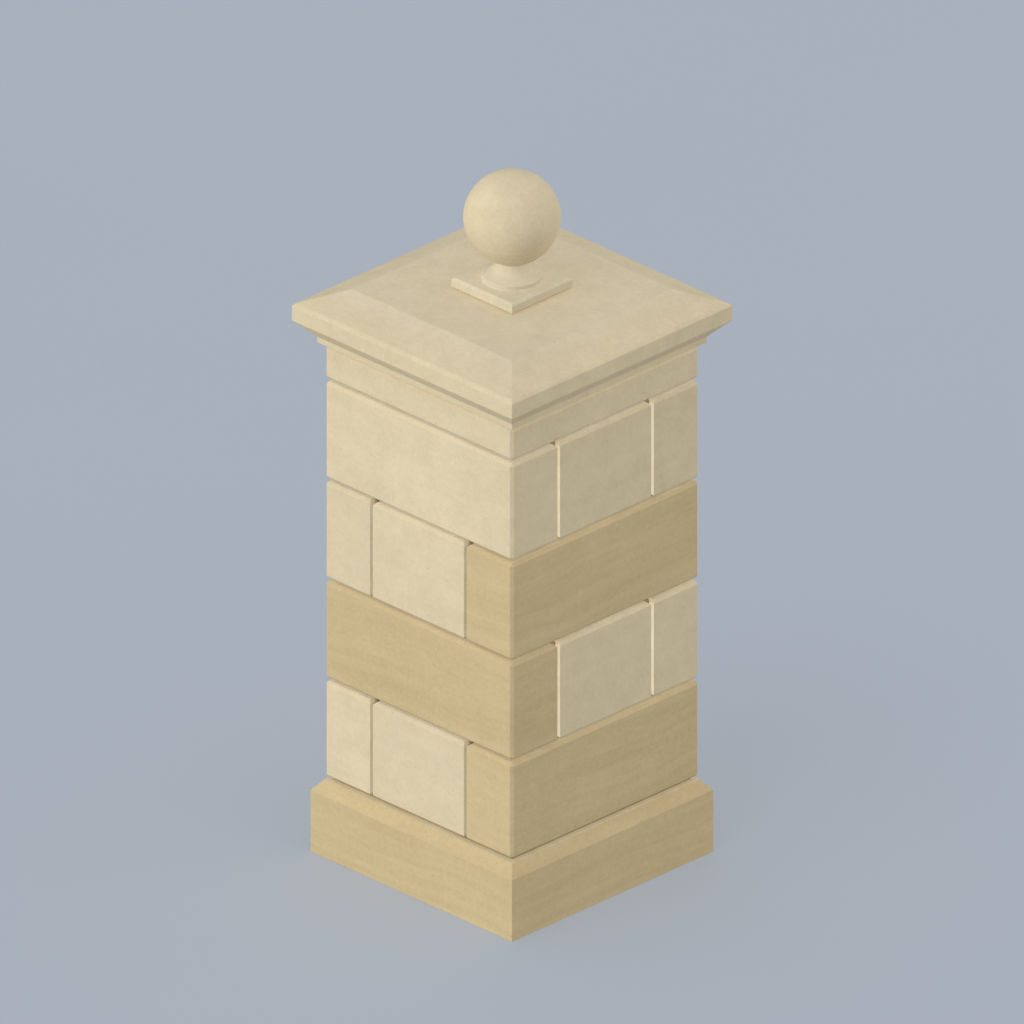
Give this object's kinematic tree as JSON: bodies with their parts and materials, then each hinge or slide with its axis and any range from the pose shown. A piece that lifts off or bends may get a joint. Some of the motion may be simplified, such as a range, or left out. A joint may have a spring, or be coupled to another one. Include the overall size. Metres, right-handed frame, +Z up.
{
  "type": "stone corner pier",
  "caption": "Square free-standing pier of chamfered ashlar on a weathered plinth, with a moulded cap stone and a ball finial.",
  "frame": {"origin": "centre of the plinth's underside", "axes": "+Z up; -Y is the front, with the tan stone of course 2; +X is the right side, with the tan stones of courses 1 and 3"},
  "size_m": [0.705, 0.705, 1.7171],
  "materials": {
    "pale_limestone": "dressed, matt",
    "tan_sandstone": "dressed, matt",
    "lime_mortar": "raked back, sandy"
  },
  "bodies": {
    "root": {"plinth": "tan_sandstone", "course_1_left_stone": "pale_limestone", "course_1_middle_stone": "pale_limestone", "course_1_right_stone": "tan_sandstone", "course_2_front_stone": "tan_sandstone", "course_2_middle_stone": "pale_limestone", "course_2_back_stone": "pale_limestone", "course_3_left_stone": "pale_limestone", "course_3_middle_stone": "pale_limestone", "course_3_right_stone": "tan_sandstone", "course_4_front_stone": "pale_limestone", "course_4_middle_stone": "pale_limestone", "course_4_back_stone": "pale_limestone", "neck_course": "pale_limestone", "cap_stone": "pale_limestone", "ball_finial": "pale_limestone", "mortar_course_1": "lime_mortar", "mortar_course_2": "lime_mortar", "mortar_course_3": "lime_mortar", "mortar_course_4": "lime_mortar", "mortar_neck": "lime_mortar", "mortar_cap": "lime_mortar"}
  },
  "joints": []
}
